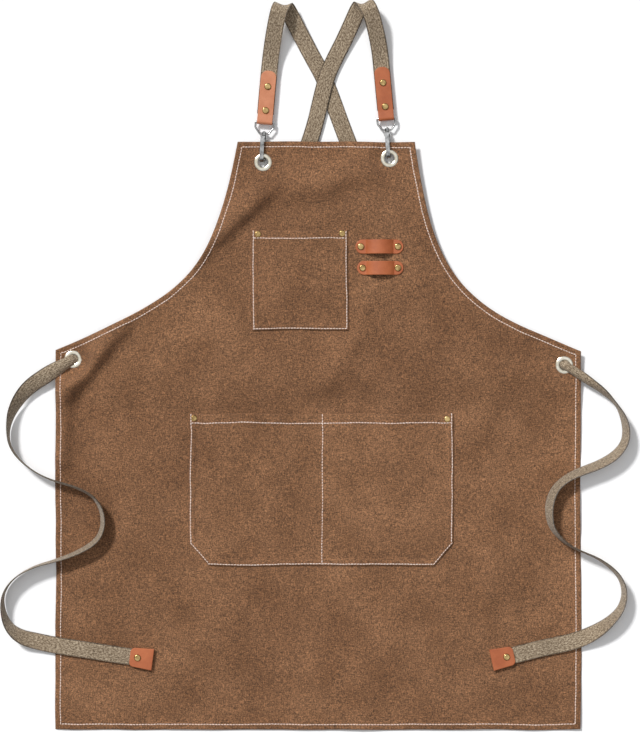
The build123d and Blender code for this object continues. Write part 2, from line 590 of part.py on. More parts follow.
for side in ("left", "right"):
    fold = folds[side]
    layer = LAYER_Z[side]
    peak = PEAK[side]
    crossing = HEM_CROSSING[side]
    other = STRAP_SIDE[side]
    eyelet = WAIST_EYELETS[other]
    neck_way = Vector(*NECK_WAY[other], 0).normalized()

    # inside the tab, then up to the shoulder and over
    start = tab_top(side)
    reach = (Vector(*peak) - Vector(*start)).length
    rise = upright(start, (peak[0] - start[0], peak[1] - start[1]))
    with BuildPart() as end_in_tab:
        with BuildSketch(fold.offset(-WEB / 2)):
            with Locations((0, (TAB_TOP + TAB_TAPER) / 2 + 0.5)):
                Rectangle(WEB_WIDTH, TAB_TOP - TAB_TAPER - 1)
        extrude(amount=WEB)
    top = [(reach - PEAK_SPAN, PEAK_HEIGHT), (reach, FALL_HEIGHTS[0][1])]
    over = strip(rise, [(-2, CLASP_Z), *RISE_HEIGHTS, *top], WEB_WIDTH, WEB, f"{side}_shoulder_front")
    corded(f"{side}_shoulder_front", [end_in_tab.part, over],
           [Plane(origin=local(fold, 0, distance, 0), z_dir=fold.z_dir) for distance in TAB_RIVETS])

    # back from the shoulder and flat behind the bib
    down = upright(peak, (crossing[0] - peak[0], crossing[1] - peak[1]))
    landing = Vector(*peak) + (Vector(*crossing) - Vector(*peak)).normalized() * LEVEL_FROM
    neck_start = Vector(*eyelet) - neck_way * NECK_BACK
    fall = strip(down, [*FALL_HEIGHTS, (FALL_SPAN, layer + 1), (LEVEL_FROM + 1, layer)],
                 WEB_WIDTH, WEB, f"{side}_shoulder_back")
    flat = strip(HEM.offset(layer),
                 [(landing.X, landing.Y), crossing, *BEHIND_BIB[side], (neck_start.X, neck_start.Y)],
                 WEB, WEB_WIDTH, f"{side}_back_strap")
    corded(f"{side}_back_strap", [fall, flat])

    # gathered up through the waist eyelet
    neck_plane = upright(eyelet, (neck_way.X, neck_way.Y))
    neck = strip(neck_plane, [(-NECK_BACK, NECK_LOW), *NECK_HEIGHTS, (NECK_FRONT, NECK_HIGH)],
                 FOLDED_WIDTH, FOLDED, f"{other}_tie_neck")
    corded(f"{other}_tie_neck", [neck])

    # the tie stands on its edge, then turns flat to its tip
    standing = strip(HEM.offset(TIE_LOW + WEB_WIDTH / 2), TIE_ROUTES[other], WEB_WIDTH, WEB, f"{other}_tie")
    corded(f"{other}_tie", [standing])
    lying = strip(HEM.offset(TIE_END_Z), TIE_ENDS[other], WEB, WEB_WIDTH, f"{other}_tie_end")
    tip_end = Vector(*TIE_ENDS[other][-1])
    tip_way = (tip_end - Vector(*TIE_ENDS[other][-2])).normalized()
    rivet_spot = tip_end - tip_way * (TIP_LENGTH - TIP_RIVET)
    rivet_plane = Plane(origin=(rivet_spot.X, HEM_Y + rivet_spot.Y, 0))
    corded(f"{other}_tie_end", [lying], [rivet_plane])

    # leather folded over the end of the tie
    middle = tip_end - tip_way * (TIP_LENGTH / 2 - TIP_PAST_WEB)
    tip_plane = Plane(origin=(middle.X, HEM_Y + middle.Y, 0), x_dir=tip_way, z_dir=(0, 0, 1))
    low, high = TIE_END_Z - WEB / 2, TIE_END_Z + WEB / 2
    with BuildPart() as tip:
        with BuildSketch(tip_plane.offset(low - LEATHER_TIP)) as plan:
            with BuildLine():
                Polyline((-TIP_LENGTH / 2, -TIP_NECK / 2), (TIP_LENGTH / 2, -TIP_WIDTH / 2),
                         (TIP_LENGTH / 2, TIP_WIDTH / 2), (-TIP_LENGTH / 2, TIP_NECK / 2), close=True)
            make_face()
            fillet(plan.vertices().group_by(Axis.X)[0], radius=TIP_CORNER)
        extrude(amount=high - low + 2 * LEATHER_TIP)
        with BuildSketch(tip_plane.offset(low)):
            with Locations((-TIP_PAST_WEB, 0)):
                Rectangle(TIP_LENGTH, WEB_WIDTH + WEB_ROOM)
        extrude(amount=high - low, mode=Mode.SUBTRACT)
        with BuildSketch(rivet_plane):
            Circle(SHANK_RADIUS + SHANK_ROOM)
        extrude(amount=TALL, mode=Mode.SUBTRACT)
    keep(tip.part, f"{other}_tip")
    rivets(f"{other}_tip_rivet", [rivet_plane], low - LEATHER_TIP, high + LEATHER_TIP, sunk=False)
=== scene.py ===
"""The looks of a cross-back work apron in waxed canvas, laid flat with its front up.

Every (x, y) below is in millimetres from the middle of the bottom hem, and every z is above the floor.
X runs across the apron, Y towards the shoulders. The CAD frame gives the metal parts and the places.
"""
import json
import math
import random

import bmesh
import bpy
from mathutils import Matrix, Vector, noise

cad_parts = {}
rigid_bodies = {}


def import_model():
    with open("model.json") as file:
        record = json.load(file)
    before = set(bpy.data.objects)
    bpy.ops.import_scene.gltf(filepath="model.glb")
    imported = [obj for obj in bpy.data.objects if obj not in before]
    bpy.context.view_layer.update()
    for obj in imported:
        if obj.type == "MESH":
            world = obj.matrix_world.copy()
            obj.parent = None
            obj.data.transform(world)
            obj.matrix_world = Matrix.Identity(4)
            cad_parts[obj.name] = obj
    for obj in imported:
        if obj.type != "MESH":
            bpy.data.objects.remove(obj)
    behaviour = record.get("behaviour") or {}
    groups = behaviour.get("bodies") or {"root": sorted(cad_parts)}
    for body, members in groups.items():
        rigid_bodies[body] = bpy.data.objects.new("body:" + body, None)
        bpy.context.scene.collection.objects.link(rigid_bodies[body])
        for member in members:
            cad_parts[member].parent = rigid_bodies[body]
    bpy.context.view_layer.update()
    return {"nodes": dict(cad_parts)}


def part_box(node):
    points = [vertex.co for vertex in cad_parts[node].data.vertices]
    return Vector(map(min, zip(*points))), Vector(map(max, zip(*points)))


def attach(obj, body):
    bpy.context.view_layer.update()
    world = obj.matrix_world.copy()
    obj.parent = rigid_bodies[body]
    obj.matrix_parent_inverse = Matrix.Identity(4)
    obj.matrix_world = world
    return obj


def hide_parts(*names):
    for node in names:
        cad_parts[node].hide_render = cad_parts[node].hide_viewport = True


for leftover in list(bpy.data.objects):
    bpy.data.objects.remove(leftover)

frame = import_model()
MM = 0.001
HEM_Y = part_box("front_panel")[0].y

# ---- the apron's cut, as in the CAD model ----
HALF_WIDTH = 340.0
BIB_TOP = 760.5
SIDES_BEND_Y = 491.0             # the sides are upright below this, and the armholes begin above it
ARMHOLE_LEFT = ((-104.0, 761.0), (-139.0, 572.0), (-184.0, 560.0), (-340.0, 491.0))
ARMHOLE_RIGHT = ((125.0, 760.0), (148.0, 569.0), (203.0, 542.0), (340.0, 490.0))
CLOTH = 1.2
HEM_WIDTH, HEM_RISE, HEM_STITCH = 8.5, 0.8, 6.9
BIB_LIFT = 7.5
RAMP_START, RAMP_END = 408.0, 460.0
CHEST_POCKET = (-86.0, 517.0, 38.0, 646.0)
WAIST_POCKET = (-167.0, 212.0, 175.0, 409.0)
WAIST_CUT = (24.0, 28.0)
DIVIDER_X = 5.0
POCKET_STITCH = 2.2
BIB_EYELETS = {"left": (-71.5, 734.0), "right": (92.0, 739.0)}
WAIST_EYELETS = {"left": (-317.0, 479.5), "right": (318.0, 472.0)}
EYELET_HOLE = 8.6                # radius of the hole in the cloth
CHEST_RIVETS = [(-78, 641), (31, 642)]
WAIST_RIVETS = [(-161, 403), (167, 402)]
LOOP_RIVETS = [(55, 625), (103, 625), (57, 597), (103, 597)]
TOOL_LOOPS = (46.0, 586.0, 112.0, 636.0)
PANEL_AREA, WAIST_POCKET_AREA = 0.4276, 0.0667    # square metres

# ---- webbing ----
WEB_WIDTH, WEB = 21.5, 1.6
WEB_THINS, WEB_THIN_POWER = 0.55, 12      # how much of the webbing's thickness is lost at its very edge
WEB_COLUMNS = 10
TIE_Z = 13.05                    # middle of the webbing where it stands on its edge
TIE_END_Z = 4.9
NECK_ROUTE = {"left": [(-293, 494.5, 3.6), (-313.2, 481.9, 4.0), (-320.8, 477.1, 13.2)],
              "right": [(294, 490, 3.6), (314.4, 474.7, 4.0), (321.6, 469.3, 13.2)]}
TIE_ROUTES = {
    "left": [(-349, 460), (-376, 442), (-394, 416), (-401, 390), (-399, 368), (-386, 349),
             (-364, 332), (-341, 322), (-315, 315), (-292, 304), (-280, 287), (-277, 265),
             (-285, 245), (-309, 230), (-338, 219.5), (-367, 212), (-393, 197.5),
             (-407, 178), (-408, 157), (-401, 135), (-386, 121)],
    "right": [(348, 450), (370, 436), (384, 422), (394, 405), (398, 388), (396, 371),
              (384, 355.5), (365, 344), (343, 336), (322, 327), (306.5, 314), (299, 297),
              (297.5, 280), (301, 262), (313, 247), (328.5, 236), (343, 230), (362, 222),
              (380, 209), (392, 194), (396, 175.5), (391, 157), (378, 142), (362, 129)],
}
TIE_ENDS = {                     # flat on the cloth, up to the leather tip
    "left": [(-364, 114.5), (-338, 109), (-296, 103), (-257, 96.5), (-216, 91)],
    "right": [(339, 117), (313, 110.5), (287, 105.5), (259, 98), (226, 90.5)],
}


def at(x, y, z=0.0):
    """A point of the model, in metres."""
    return Vector((x * MM, HEM_Y + y * MM, z * MM))


def smoothstep(low, high, value):
    """0 below low, 1 above high, and a smooth rise between them."""
    t = min(max((value - low) / (high - low), 0.0), 1.0)
    return t * t * (3 - 2 * t)


def ripple(x, y, size_x, size_y, layer):
    """Smooth noise about 0 over the apron, with waves of a size in millimetres. Each layer differs."""
    return noise.noise(Vector((x / size_x, y / size_y, layer)))


# ---- materials ----
def linear(red, green, blue):
    """A colour given from 0 to 255 as the eye sees it, for a shader."""
    return tuple((c / 255 / 12.92 if c <= 10 else ((c / 255 + 0.055) / 1.055) ** 2.4)
                 for c in (red, green, blue)) + (1.0,)


WHITE = linear(255, 255, 255)


class Shader:
    """A material with one Principled shader, and short calls that add the nodes in front of it."""

    def __init__(self, name, **sockets):
        self.material = bpy.data.materials.new(name)
        self.material.use_nodes = True
        self.nodes = self.material.node_tree.nodes
        self.links = self.material.node_tree.links
        self.bsdf = self.nodes["Principled BSDF"]
        for key, value in sockets.items():
            self.bsdf.inputs[key.replace("_", " ")].default_value = value
        self.coords = self.nodes.new("ShaderNodeTexCoord")

    def place(self, output, scale):
        """A set of texture coordinates, stretched by a scale."""
        node = self.nodes.new("ShaderNodeMapping")
        node.inputs["Scale"].default_value = scale
        self.links.new(self.coords.outputs[output], node.inputs["Vector"])
        return node.outputs["Vector"]

    def noise(self, where, scale, detail=2.0, roughness=0.5):
        node = self.nodes.new("ShaderNodeTexNoise")
        node.inputs["Scale"].default_value = scale
        node.inputs["Detail"].default_value = detail
        node.inputs["Roughness"].default_value = roughness
        self.links.new(where, node.inputs["Vector"])
        return node.outputs["Fac"]

    def wave(self, where, direction, scale, distortion=0.0):
        node = self.nodes.new("ShaderNodeTexWave")
        node.bands_direction = direction
        node.inputs["Scale"].default_value = scale
        node.inputs["Distortion"].default_value = distortion
        node.inputs["Detail"].default_value = 1.0
        self.links.new(where, node.inputs["Vector"])
        return node.outputs["Fac"]

    def cells(self, where, scale):
        node = self.nodes.new("ShaderNodeTexVoronoi")
        node.inputs["Scale"].default_value = scale
        self.links.new(where, node.inputs["Vector"])
        return node.outputs["Distance"]

    def maths(self, operation, *values):
        node = self.nodes.new("ShaderNodeMath")
        node.operation = operation
        for socket, value in zip(node.inputs, values):
            if isinstance(value, (int, float)):
                socket.default_value = value
            else:
                self.links.new(value, socket)
        return node.outputs["Value"]

    def ramp(self, fac, *stops):
        """A colour ramp of (place, colour) stops."""
        node = self.nodes.new("ShaderNodeValToRGB")
        elements = node.color_ramp.elements
        while len(elements) < len(stops):
            elements.new(0.5)
        for element, (place, colour) in zip(elements, stops):
            element.position = place
            element.color = colour
        self.links.new(fac, node.inputs["Fac"])
        return node.outputs["Color"]

    def mix(self, kind, fac, first, second):
        node = self.nodes.new("ShaderNodeMix")
        node.data_type = "RGBA"
        node.blend_type = kind
        factor, a, b = node.inputs[0], node.inputs[6], node.inputs[7]
        for socket, value in ((factor, fac), (a, first), (b, second)):
            if isinstance(value, (int, float, tuple)):
                socket.default_value = value
            else:
                self.links.new(value, socket)
        return node.outputs[2]

    def rough(self, fac, low, high):
        """Roughness between two values."""
        node = self.nodes.new("ShaderNodeMapRange")
        node.inputs["To Min"].default_value = low
        node.inputs["To Max"].default_value = high
        self.links.new(fac, node.inputs["Value"])
        self.links.new(node.outputs["Result"], self.bsdf.inputs["Roughness"])

    def bump(self, *layers):
        """Bump from (height, distance in metres) layers, one on the other."""
        normal = None
        for height, distance in layers:
            node = self.nodes.new("ShaderNodeBump")
            node.inputs["Strength"].default_value = 1.0
            node.inputs["Distance"].default_value = distance
            self.links.new(height, node.inputs["Height"])
            if normal is not None:
                self.links.new(normal, node.inputs["Normal"])
            normal = node.outputs["Normal"]
        self.links.new(normal, self.bsdf.inputs["Normal"])

    def colour(self, colour):
        self.links.new(colour, self.bsdf.inputs["Base Color"])


def canvas_material():
    """Brown waxed canvas: a plain weave with slubs both ways, flecks, and broad blotches that are partly wax
    marks and partly painted shade of the cloth's uneven lie.
    """
    s = Shader("waxed_canvas", Specular_IOR_Level=0.26, Sheen_Weight=0.12, Sheen_Roughness=0.45)
    where = s.place("Object", (1, 1, 1))
    warp = s.wave(where, "X", 390, 1.2)
    weft = s.wave(where, "Y", 390, 1.2)
    weave = s.maths("MULTIPLY", warp, weft)
    fleck = s.noise(where, 640, 4.0, 0.75)
    slubs = s.maths("MULTIPLY", s.noise(s.place("Object", (0.2, 1, 1)), 900, 2.0, 0.6),
                    s.noise(s.place("Object", (1, 0.25, 1)), 860, 2.0, 0.6))
    # patch and the noise below paint broad blotches: partly wax marks, partly painted shade standing in for
    # the cloth's uneven lie
    patch = s.noise(where, 17, 4.0, 0.6)
    wax_and_shade_noise = s.noise(where, 4.2, 2.0, 0.5)
    base = s.ramp(patch, (0.3, linear(150, 109, 76)), (0.7, linear(177, 133, 98)))
    wax_and_shade_blotches = s.ramp(wax_and_shade_noise, (0.35, linear(208, 200, 194)), (0.65, WHITE))
    flecks = s.ramp(fleck, (0.36, linear(66, 62, 60)), (0.65, linear(232, 228, 222)))
    knots = s.ramp(slubs, (0.16, linear(84, 80, 78)), (0.36, linear(222, 216, 210)))
    gaps = s.ramp(weave, (0.0, linear(168, 160, 152)), (0.55, WHITE))
    blotched_with_shade = s.mix("MULTIPLY", 0.4, base, wax_and_shade_blotches)
    flecked = s.mix("OVERLAY", 0.8, blotched_with_shade, flecks)
    slubbed = s.mix("OVERLAY", 0.5, flecked, knots)
    s.colour(s.mix("MULTIPLY", 0.35, slubbed, gaps))
    s.rough(patch, 0.62, 0.82)
    s.bump((patch, 0.0012), (weave, 0.00028), (fleck, 0.0004), (slubs, 0.0005))
    return s.material


def webbing_material():
    """Tan webbing with dark and pale flecks, a paler ribbed woven edge down each side, and painted shade as a
    dark line along each very edge.
    """
    s = Shader("cotton_webbing", Roughness=0.86, Specular_IOR_Level=0.2,
               Sheen_Weight=0.2, Sheen_Roughness=0.5)
    where = s.place("UV", (1, 1, 1))
    ribs = s.wave(where, "Y", 160, 1.5)
    picks = s.wave(where, "X", 230, 2.0)
    weave = s.maths("MULTIPLY", ribs, picks)
    dashes = s.noise(s.place("UV", (1, 1.8, 1)), 340, 4.0, 0.8)
    patch = s.noise(where, 45, 2.0, 0.5)
    split = s.nodes.new("ShaderNodeSeparateXYZ")
    s.links.new(where, split.inputs["Vector"])
    share = s.maths("DIVIDE", split.outputs["Y"], WEB_WIDTH * MM)
    off_middle = s.maths("ABSOLUTE", s.maths("SUBTRACT", share, 0.5))
    base = s.ramp(dashes, (0.36, linear(84, 70, 54)), (0.48, linear(150, 131, 107)),
                  (0.62, linear(216, 198, 172)))
    tones = s.ramp(patch, (0.3, linear(205, 200, 195)), (0.7, WHITE))
    gaps = s.ramp(weave, (0.0, linear(150, 145, 140)), (0.5, WHITE))
    # a pale woven stripe near each side, then painted shade: a dark line along the very edge, where the
    # edge's thickness is shaded
    selvedge_and_edge_shade = s.ramp(off_middle, (0.35, linear(190, 190, 190)), (0.41, linear(216, 216, 216)),
                      (0.455, linear(70, 70, 70)))
    threads = s.mix("MULTIPLY", 0.45, s.mix("MULTIPLY", 0.4, base, tones), gaps)
    s.colour(s.mix("OVERLAY", 0.6, threads, selvedge_and_edge_shade))
    s.bump((selvedge_and_edge_shade, 0.0003), (weave, 0.00035), (dashes, 0.0003))
    return s.material


def leather_material(name, dark, light):
    """Vegetable-tanned leather: pebbled grain, fine pores and a patchy waxed finish."""
    s = Shader(name, Specular_IOR_Level=0.42)
    where = s.place("Object", (1, 1, 1))
    grain = s.cells(where, 900)
    pores = s.noise(where, 2400, 2.0, 0.6)
    patch = s.noise(where, 42, 3.0, 0.6)
    base = s.ramp(patch, (0.3, linear(*dark)), (0.7, linear(*light)))
    worn = s.ramp(grain, (0.0, linear(196, 186, 178)), (0.5, WHITE))
    s.colour(s.mix("MULTIPLY", 0.3, base, worn))
    s.rough(patch, 0.42, 0.6)
    s.bump((grain, 0.00014), (pores, 0.00007))
    return s.material


def metal_material(name, dark, light, low, high):
    """Plated metal with fine rubbing marks and a patchy tarnish."""
    s = Shader(name, Metallic=1.0)
    where = s.place("Object", (1, 1, 1))
    tarnish = s.noise(where, 160, 3.0, 0.6)
    marks = s.noise(s.place("Object", (1, 6, 1)), 900, 2.0, 0.6)
    s.colour(s.ramp(tarnish, (0.3, linear(*dark)), (0.7, linear(*light))))
    s.rough(marks, low, high)
    s.bump((marks, 0.00003), (tarnish, 0.00005))
    return s.material


def thread_material():
    """Waxed cotton thread, pinkish cream, with its twist."""
    s = Shader("cream_thread", Roughness=0.7, Specular_IOR_Level=0.3)
    where = s.place("Object", (1, 1, 1))
    twist = s.wave(where, "DIAGONAL", 900, 1.0)
    shade = s.noise(where, 180, 2.0, 0.5)
    s.colour(s.ramp(shade, (0.3, linear(222, 196, 182)), (0.7, linear(250, 230, 218))))
    s.bump((twist, 0.00012))
    return s.material


def floor_material():
    """A plain white studio floor with a faint unevenness."""
    s = Shader("studio_floor", Roughness=0.9, Specular_IOR_Level=0.1)
    shade = s.noise(s.place("Object", (1, 1, 1)), 3, 2.0, 0.5)
    s.colour(s.ramp(shade, (0.3, (0.93, 0.93, 0.93, 1)), (0.7, (0.95, 0.95, 0.95, 1))))
    return s.material


CANVAS = canvas_material()
WEBBING = webbing_material()
TAN_LEATHER = leather_material("tan_leather", (182, 112, 76), (205, 136, 100))
RUST_LEATHER = leather_material("rust_leather", (160, 84, 46), (184, 104, 62))
THREAD = thread_material()
BRASS = metal_material("antique_brass", (128, 98, 54), (216, 186, 128), 0.16, 0.34)
EYELET = metal_material("eyelet_metal", (206, 198, 176), (246, 240, 224), 0.14, 0.3)
NICKEL = metal_material("bright_nickel", (120, 120, 118), (224, 224, 222), 0.06, 0.18)
SPRING = metal_material("spring_steel", (120, 122, 126), (170, 172, 176), 0.25, 0.4)


# ---- making pieces ----
def mesh_object(name, vertices, faces, material, body="root"):
    """A new smooth-shaded piece that rides on a body."""
    mesh = bpy.data.meshes.new(name)
    mesh.from_pydata(vertices, [], faces)
    mesh.validate()
    mesh.materials.append(material)
    mesh.polygons.foreach_set("use_smooth", [True] * len(mesh.polygons))
    piece = bpy.data.objects.new(name, mesh)
    bpy.context.scene.collection.objects.link(piece)
    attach(piece, body)
    return piece


def smooth_line(points):
    """The points along the NURBS spline that has these control points."""
    curve = bpy.data.curves.new("route", "CURVE")
    curve.dimensions = "3D"
    curve.resolution_u = 10
    spline = curve.splines.new("NURBS")
    spline.points.add(len(points) - 1)
    for control, point in zip(spline.points, points):
        control.co = (*point, 1)
    spline.order_u = 3
    spline.use_endpoint_u = True
    holder = bpy.data.objects.new("route", curve)
    mesh = bpy.data.meshes.new_from_object(holder)
    line = [vertex.co.copy() for vertex in mesh.vertices]
    bpy.data.objects.remove(holder)
    bpy.data.curves.remove(curve)
    bpy.data.meshes.remove(mesh)
    return line


# ---- the camera, the lights and the floor ----
def camera():
    """Straight above, as far off as frames the view's 952 mm of height."""
    lens, sensor, view_height = 150.0, 36.0, 0.952
    above_x, above_y = 0.0022, 0.0400
    data = bpy.data.cameras.new("camera")
    data.lens, data.sensor_width = lens, sensor
    data.clip_end = 50
    eye = bpy.data.objects.new("camera", data)
    eye.location = (above_x, above_y, view_height * lens / sensor)
    bpy.context.scene.collection.objects.link(eye)
    bpy.context.scene.camera = eye


def surround():
    """A studio, bright overhead and darker low down, for the metal to mirror. The camera sees a pale one."""
    low_down, low_glow = (0.03, 0.03, 0.032, 1), (0.3, 0.09)
    overhead, high_glow = (0.95, 0.96, 0.98, 1), (0.62, 0.32)
    backdrop = (0.94, 0.94, 0.95, 1)
    world = bpy.data.worlds.new("surround")
    world.use_nodes = True
    nodes, links = world.node_tree.nodes, world.node_tree.links
    coords = nodes.new("ShaderNodeTexCoord")
    split = nodes.new("ShaderNodeSeparateXYZ")
    shade = nodes.new("ShaderNodeValToRGB")
    seen = nodes.new("ShaderNodeLightPath")
    plain = nodes.new("ShaderNodeMix")
    plain.data_type = "RGBA"
    elements = shade.color_ramp.elements
    for place, level in (low_glow, high_glow):
        elements.new(place).color = (level, level, level * 1.02, 1)
    elements[0].color = low_down
    elements[-1].color = overhead
    links.new(coords.outputs["Generated"], split.inputs["Vector"])
    links.new(split.outputs["Z"], shade.inputs["Fac"])
    links.new(seen.outputs["Is Camera Ray"], plain.inputs[0])
    links.new(shade.outputs["Color"], plain.inputs[6])
    plain.inputs[7].default_value = backdrop
    links.new(plain.outputs[2], nodes["Background"].inputs["Color"])
    return world


def lights():
    """A soft key from the upper left, and the surround."""
    towards_key, strength, softness = Vector((-0.64, 0.77, 1.07)), 2.9, math.radians(9)
    data = bpy.data.lights.new("key", "SUN")
    data.energy, data.angle = strength, softness
    key = bpy.data.objects.new("key", data)
    key.rotation_euler = towards_key.to_track_quat("Z", "Y").to_euler()
    bpy.context.scene.collection.objects.link(key)
    bpy.context.scene.world = surround()
    bpy.context.scene.view_settings.view_transform = "Standard"


def floor():
    """A wide plane just under the apron."""
    reach, low = 6.0, -0.0001
    corners = [(-reach, -reach, low), (reach, -reach, low), (reach, reach, low), (-reach, reach, low)]
    mesh = bpy.data.meshes.new("floor")
    mesh.from_pydata(corners, [], [(0, 1, 2, 3)])
    mesh.materials.append(floor_material())
    plane = bpy.data.objects.new("floor", mesh)
    bpy.context.scene.collection.objects.link(plane)


camera()
lights()
floor()


# ---- the straps: webbing along a route, turned and curled as it goes ----
SHOULDER_ROUTE = {
    "left": [(-65.8, 826.3, 7.5), (-63.5, 852.2, 7.5), (-61, 874, 10), (-57.5, 897, 18), (-53.5, 917, 26),
             (-50, 931, 29), (-46, 937, 20), (-40, 932, 11), (-31, 915, 7), (-19.6, 893, 3.5),
             (-5, 866, 1.5), (9, 841, 1.4), (38, 760, 1.4), (88, 640, 1.4), (160, 560, 1.4), (240, 508, 1.6)],
    "right": [(84.1, 831.2, 7.5), (81.7, 857.1, 7.5), (79.5, 878, 10.5), (75, 900, 18.5), (69.5, 920, 26.5),
              (64.5, 933, 29), (59, 939, 20), (52, 933, 12), (44, 915, 8), (33, 891, 5),
              (20, 866, 3.7), (9, 841, 3.7), (-9, 760, 3.6), (-62, 640, 3.6), (-142, 562, 3.4),
              (-236, 513, 2.8)],
}
TAB_END = {"left": (-68.4, 796.4), "right": (87.0, 801.4)}      # where the webbing starts inside its tab
OTHER = {"left": "right", "right": "left"}       # the straps cross, so each ties on the other side
TIE_LEAN = {                     # degrees at each point: 0 lies flat, 90 stands on its edge
    "left": [12, 30, 58, 84, 90, 92, 95, 97, 98, 101, 107, 109, 108, 104, 98, 93, 90, 88,
             80, 65, 40, 15, 0, 0, 0, 0],
    "right": [66, 73, 88, 73, 68, 66, 61, 60, 62, 66, 66, 64, 66, 74, 80, 84, 86, 84, 80, 78, 76, 70,
              60, 40, 15, 0, 0, 0, 0],
}
NECK_CURL = {"left": [40, 110, 215, 40], "right": [40, 115, 290, 150]}    # gathered through the eyelet
SHOULDER_CURL, LOOSENING_CURL, TIE_CURL = 8, 20, 6
LEAST_BEND = 0.02                # radians, so that a flat section's radius stays finite


def tie_points(side):
    """The standing tie, then its flat end."""
    standing = [(x, y, TIE_Z) for x, y in TIE_ROUTES[side][:-1]]
    x, y = TIE_ROUTES[side][-1]
    sinking = (x, y, (3 * TIE_Z + 2 * TIE_END_Z) / 5)
    return standing + [sinking] + [(x, y, TIE_END_Z) for x, y in TIE_ENDS[side]]


def beside_route(route, side):
    """A level vector across the webbing at each point, which doesn't flip where the route doubles back.

    Where the route climbs or drops steeply it keeps the one before.
    """
    besides = []
    for before, after in zip([route[0]] + route[:-1], route[1:] + [route[-1]]):
        way = Vector((after[0] - before[0], after[1] - before[1], 0))
        steep = way.length < abs(after[2] - before[2])
        beside = besides[-1] if steep else Vector((-way.y, way.x, 0)).normalized()
        if besides and beside.dot(besides[-1]) < 0:
            beside = -beside
        besides.append(beside)
    way = Vector(route[-1]) - Vector(route[-2])
    ends_left = besides[-1].dot(Vector((-way.y, way.x, 0))) > 0
    flip = 1 if ends_left == (side > 0) else -1
    return [beside * flip for beside in besides]


def ribbon(name, route, lean, curl, side):
    """Webbing whose middle follows the route: the new piece, and the points of its middle.

    lean is the angle from lying flat to standing on its edge and curl the angle that its section bends
    through, in degrees, one value for each point of the route. The edge that rises is the one on the left
    of the way where side is 1, and the right one where it is -1.
    """
    up = Vector((0, 0, 1))
    middle = smooth_line([at(*point) for point in route])
    across_line = smooth_line([beside * math.cos(math.radians(angle)) + up * math.sin(math.radians(angle))
                               for beside, angle in zip(beside_route(route, side), lean)])
    curl_line = smooth_line([(math.radians(angle), i, 0) for i, angle in enumerate(curl)])
    vertices, coords, length = [], [], 0.0
    for i, centre in enumerate(middle):
        before, after = middle[max(i - 1, 0)], middle[min(i + 1, len(middle) - 1)]
        way = (after - before).normalized()
        length += (centre - before).length
        across = across_line[i] - way * across_line[i].dot(way)
        across.normalize()
        normal = way.cross(across) * side
        bend = max(curl_line[i].x, LEAST_BEND)
        radius = WEB_WIDTH * MM / bend
        sag = radius * (1 - math.sin(bend / 2) / (bend / 2))
        for face in (1, -1):
            for k in range(WEB_COLUMNS + 1):
                share = 2 * k / WEB_COLUMNS - 1
                angle = share * bend / 2
                out = normal * math.cos(angle) + across * math.sin(angle)
                drop = radius * (1 - math.cos(angle)) - sag
                foot = centre + across * radius * math.sin(angle) - normal * drop
                half = WEB * MM / 2 * (1 - WEB_THINS * abs(share) ** WEB_THIN_POWER)
                vertices.append(foot + out * face * half)
                coords.append((length, (share + 1) / 2 * WEB_WIDTH * MM))
    faces = []
    under = WEB_COLUMNS + 1
    ring = 2 * under
    last = (len(middle) - 1) * ring
    for here in range(0, last, ring):
        there = here + ring
        for k in range(WEB_COLUMNS):
            faces.append((here + k, here + k + 1, there + k + 1, there + k))
            faces.append((here + under + k, there + under + k, there + under + k + 1, here + under + k + 1))
        for k in (0, WEB_COLUMNS):
            faces.append((here + k, there + k, there + under + k, here + under + k))
    for end in (0, last):
        faces += [(end + k, end + k + 1, end + under + k + 1, end + under + k) for k in range(WEB_COLUMNS)]
    piece = mesh_object(name, vertices, faces, WEBBING)
    layer = piece.data.uv_layers.new(name="weave")
    for loop in piece.data.loops:
        layer.data[loop.index].uv = coords[loop.vertex_index]
    return piece, middle


def strap(side):
    """One strap from its tab, over the shoulder, behind the bib and out to its tie."""
    other = OTHER[side]
    route = SHOULDER_ROUTE[side] + NECK_ROUTE[other] + tie_points(other)
    flat = len(SHOULDER_ROUTE[side]) + len(NECK_ROUTE[other])
    lean = [0] * (flat - 1) + [TIE_LEAN[other][0] / 2] + TIE_LEAN[other]
    curl = [SHOULDER_CURL] * (flat - 3) + NECK_CURL[other] + [LOOSENING_CURL] * 2
    curl += [TIE_CURL] * (len(route) - len(curl))
    piece, middle = ribbon(f"{side}_strap", route, lean, curl, 1 if other == "right" else -1)
    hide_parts(f"{side}_shoulder_front", f"{side}_back_strap",
                f"{other}_tie_neck", f"{other}_tie", f"{other}_tie_end")
    return piece, middle


def strap_end(side):
    """The end of the webbing that the leather tab holds."""
    first, second = SHOULDER_ROUTE[side][:2]
    (x, y), (to_x, to_y, z) = TAB_END[side], first
    route = [(x, y, z), ((x + to_x) / 2, (y + to_y) / 2, z), first]
    ribbon(f"{side}_strap_end", route, [0] * 3, [SHOULDER_CURL] * 3, 1)


straps = {side: strap(side) for side in ("left", "right")}
for side in straps:
    strap_end(side)


